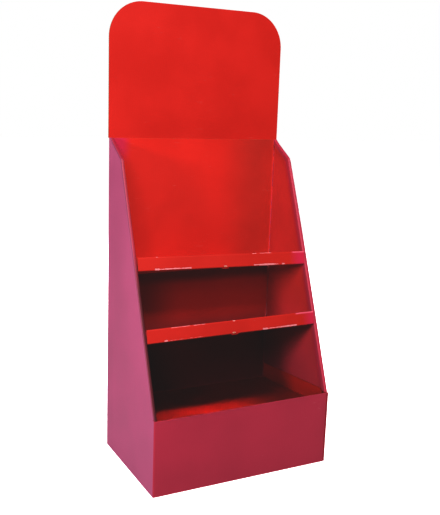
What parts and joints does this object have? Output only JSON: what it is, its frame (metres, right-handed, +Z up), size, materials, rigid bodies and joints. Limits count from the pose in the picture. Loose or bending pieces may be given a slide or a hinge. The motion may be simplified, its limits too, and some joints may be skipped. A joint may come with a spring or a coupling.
{
  "type": "cardboard display stand",
  "caption": "Free-standing floor display of folded printed corrugated board, with leaning sides, sloping shelves behind rolled lips, a base tray and a header card with rounded corners.",
  "frame": {"origin": "on the floor, under the middle of the stand", "axes": "+Z up, the open front faces -Y, +X to the right as seen from the front"},
  "size_m": [0.606, 0.4, 1.424],
  "materials": {
    "outer_print": "pink and crimson print on corrugated board, satin",
    "red_print": "red print on corrugated board, satin"
  },
  "bodies": {
    "root": {"outer_body": "outer_print", "inner_liner": "red_print", "header_card": "red_print", "upper_shelf": "red_print", "lower_shelf": "red_print", "base_tray": "red_print"}
  },
  "joints": []
}
